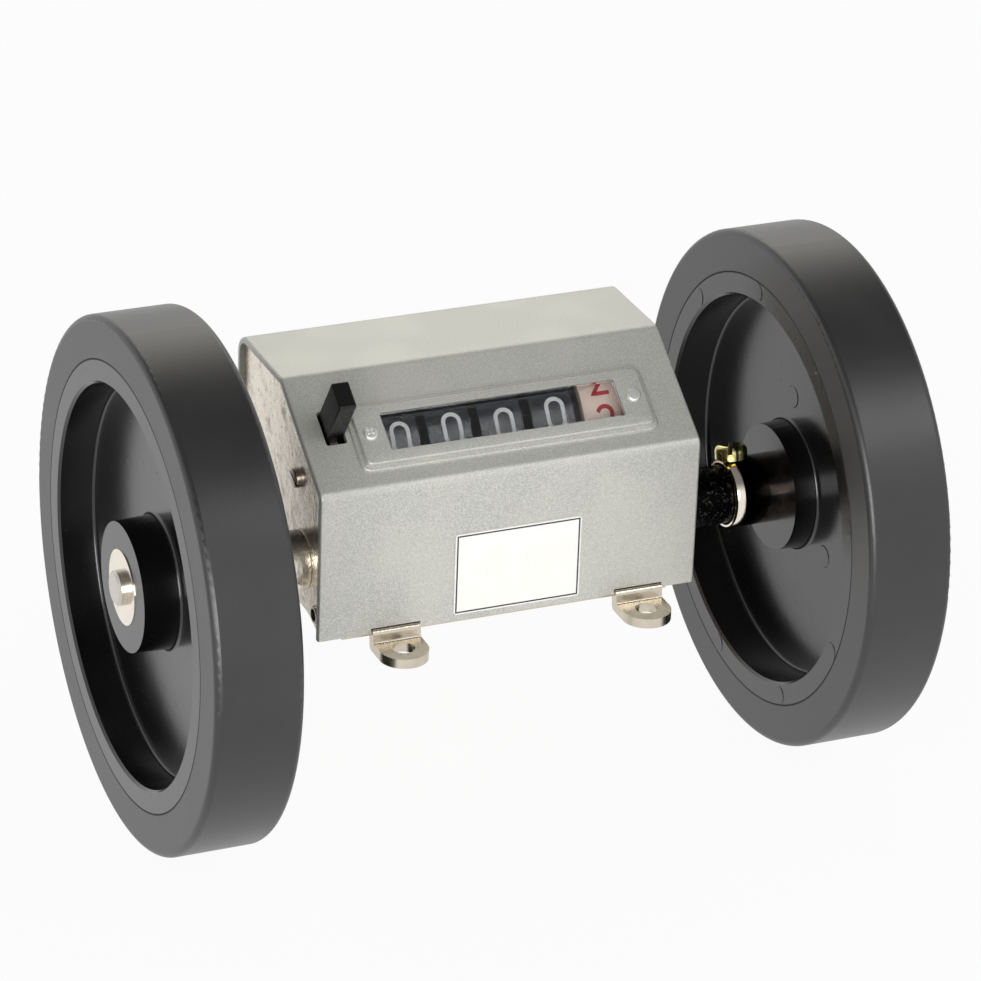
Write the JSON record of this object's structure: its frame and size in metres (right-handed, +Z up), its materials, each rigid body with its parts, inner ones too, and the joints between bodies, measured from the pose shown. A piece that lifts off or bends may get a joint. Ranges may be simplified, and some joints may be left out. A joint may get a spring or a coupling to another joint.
{
  "type": "cable length counter",
  "caption": "Length counter with two rubber-tyred wheels on one axle driving a windowed figure counter in a folded sheet case with feet and a reset key.",
  "frame": {"origin": "centre of the base plate's four-hole pattern, on the underside of its feet", "axes": "+X along the axle to the right as seen from the front; the figures face -Y; +Z up, out of the base"},
  "size_m": [0.156, 0.106, 0.106],
  "materials": {
    "grey_paint": "fine grey-green enamel",
    "bezel_paint": "fine grey enamel",
    "clear_pane": "clear acrylic",
    "nickel": "nickel plate",
    "white_plate": "white enamelled aluminium",
    "zinc_casting": "as cast zinc, satin",
    "bronze": "sintered bronze",
    "steel": "bright drawn steel",
    "black_nylon": "moulded, glossy",
    "tyre_rubber": "satin ground rubber",
    "yellow_zinc": "yellow passivated zinc plate",
    "black_key": "moulded, semi-gloss",
    "cream_drum": "moulded, satin",
    "black_drum": "moulded, satin",
    "pinion_plastic": "natural acetal"
  },
  "bodies": {
    "casing": {"cover": "grey_paint", "bezel": "bezel_paint", "window_lens": "clear_pane", "bezel_rivets": "nickel", "data_plate": "white_plate", "left_end_plate": "zinc_casting", "right_end_plate": "zinc_casting", "left_bearing_bush": "bronze", "right_bearing_bush": "bronze", "base_plate": "nickel", "base_screws": "steel", "cover_screws": "nickel", "front_tie_rod": "nickel", "rear_tie_rod": "nickel", "number_shaft": "steel", "transfer_shaft": "steel", "comb_shaft": "steel", "guide_stud": "steel", "return_spring": "steel"},
    "axle": {"main_shaft": "steel", "left_wheel": "black_nylon", "right_wheel": "black_nylon", "left_tyre": "tyre_rubber", "right_tyre": "tyre_rubber", "left_hub_sleeve": "nickel", "right_hub_sleeve": "nickel", "set_screws": "yellow_zinc"},
    "reset_slide": {"reset_slide": "steel", "reset_key": "black_key"},
    "reset_comb": {"reset_comb": "steel"},
    "drum_1": {"number_wheel_1": "cream_drum"},
    "drum_2": {"number_wheel_2": "black_drum"},
    "drum_3": {"number_wheel_3": "black_drum"},
    "drum_4": {"number_wheel_4": "black_drum"},
    "drum_5": {"number_wheel_5": "black_drum"},
    "pinion_1": {"transfer_pinion_1": "pinion_plastic"},
    "pinion_2": {"transfer_pinion_2": "pinion_plastic"},
    "pinion_3": {"transfer_pinion_3": "pinion_plastic"},
    "pinion_4": {"transfer_pinion_4": "pinion_plastic"}
  },
  "joints": [
    {"name": "wheel_spin", "type": "hinge", "parent": "casing", "child": "axle", "pos_m": [0, -0.0114, 0.016], "axis": [1, 0, 0], "continuous": true},
    {"name": "reset_press", "type": "slide", "parent": "casing", "child": "reset_slide", "axis": [0, 0.562, -0.8271], "range_m": [0, 0.0048], "stiffness_N_per_m": 400, "springref_m": -0.006},
    {"name": "comb_swing", "type": "hinge", "parent": "casing", "child": "reset_comb", "pos_m": [0, 0.0182, 0.0376], "axis": [1, 0, 0], "range_deg": [0, 17.2]},
    {"name": "drum_1_spin", "type": "hinge", "parent": "casing", "child": "drum_1", "pos_m": [0, -0.00155, 0.03106], "axis": [1, 0, 0], "continuous": true},
    {"name": "drum_2_spin", "type": "hinge", "parent": "casing", "child": "drum_2", "pos_m": [0, -0.00155, 0.03106], "axis": [1, 0, 0], "continuous": true},
    {"name": "drum_3_spin", "type": "hinge", "parent": "casing", "child": "drum_3", "pos_m": [0, -0.00155, 0.03106], "axis": [1, 0, 0], "continuous": true},
    {"name": "drum_4_spin", "type": "hinge", "parent": "casing", "child": "drum_4", "pos_m": [0, -0.00155, 0.03106], "axis": [1, 0, 0], "continuous": true},
    {"name": "drum_5_spin", "type": "hinge", "parent": "casing", "child": "drum_5", "pos_m": [0, -0.00155, 0.03106], "axis": [1, 0, 0], "continuous": true},
    {"name": "pinion_1_spin", "type": "hinge", "parent": "casing", "child": "pinion_1", "pos_m": [0, 0.01222, 0.02143], "axis": [1, 0, 0], "continuous": true},
    {"name": "pinion_2_spin", "type": "hinge", "parent": "casing", "child": "pinion_2", "pos_m": [0, 0.01222, 0.02143], "axis": [1, 0, 0], "continuous": true},
    {"name": "pinion_3_spin", "type": "hinge", "parent": "casing", "child": "pinion_3", "pos_m": [0, 0.01222, 0.02143], "axis": [1, 0, 0], "continuous": true},
    {"name": "pinion_4_spin", "type": "hinge", "parent": "casing", "child": "pinion_4", "pos_m": [0, 0.01222, 0.02143], "axis": [1, 0, 0], "continuous": true}
  ],
  "couplings": [
    {"joint": "comb_swing", "follows": "reset_press", "rad_per_m": 62},
    {"joint": "drum_1_spin", "follows": "wheel_spin", "ratio": -0.33333},
    {"joint": "drum_2_spin", "follows": "wheel_spin", "ratio": -0.033333},
    {"joint": "drum_3_spin", "follows": "wheel_spin", "ratio": -0.0033333},
    {"joint": "drum_4_spin", "follows": "wheel_spin", "ratio": -0.00033333},
    {"joint": "drum_5_spin", "follows": "wheel_spin", "ratio": -0.000033333},
    {"joint": "pinion_1_spin", "follows": "wheel_spin", "ratio": 0.083333},
    {"joint": "pinion_2_spin", "follows": "wheel_spin", "ratio": 0.0083333},
    {"joint": "pinion_3_spin", "follows": "wheel_spin", "ratio": 0.00083333},
    {"joint": "pinion_4_spin", "follows": "wheel_spin", "ratio": 0.000083333}
  ]
}
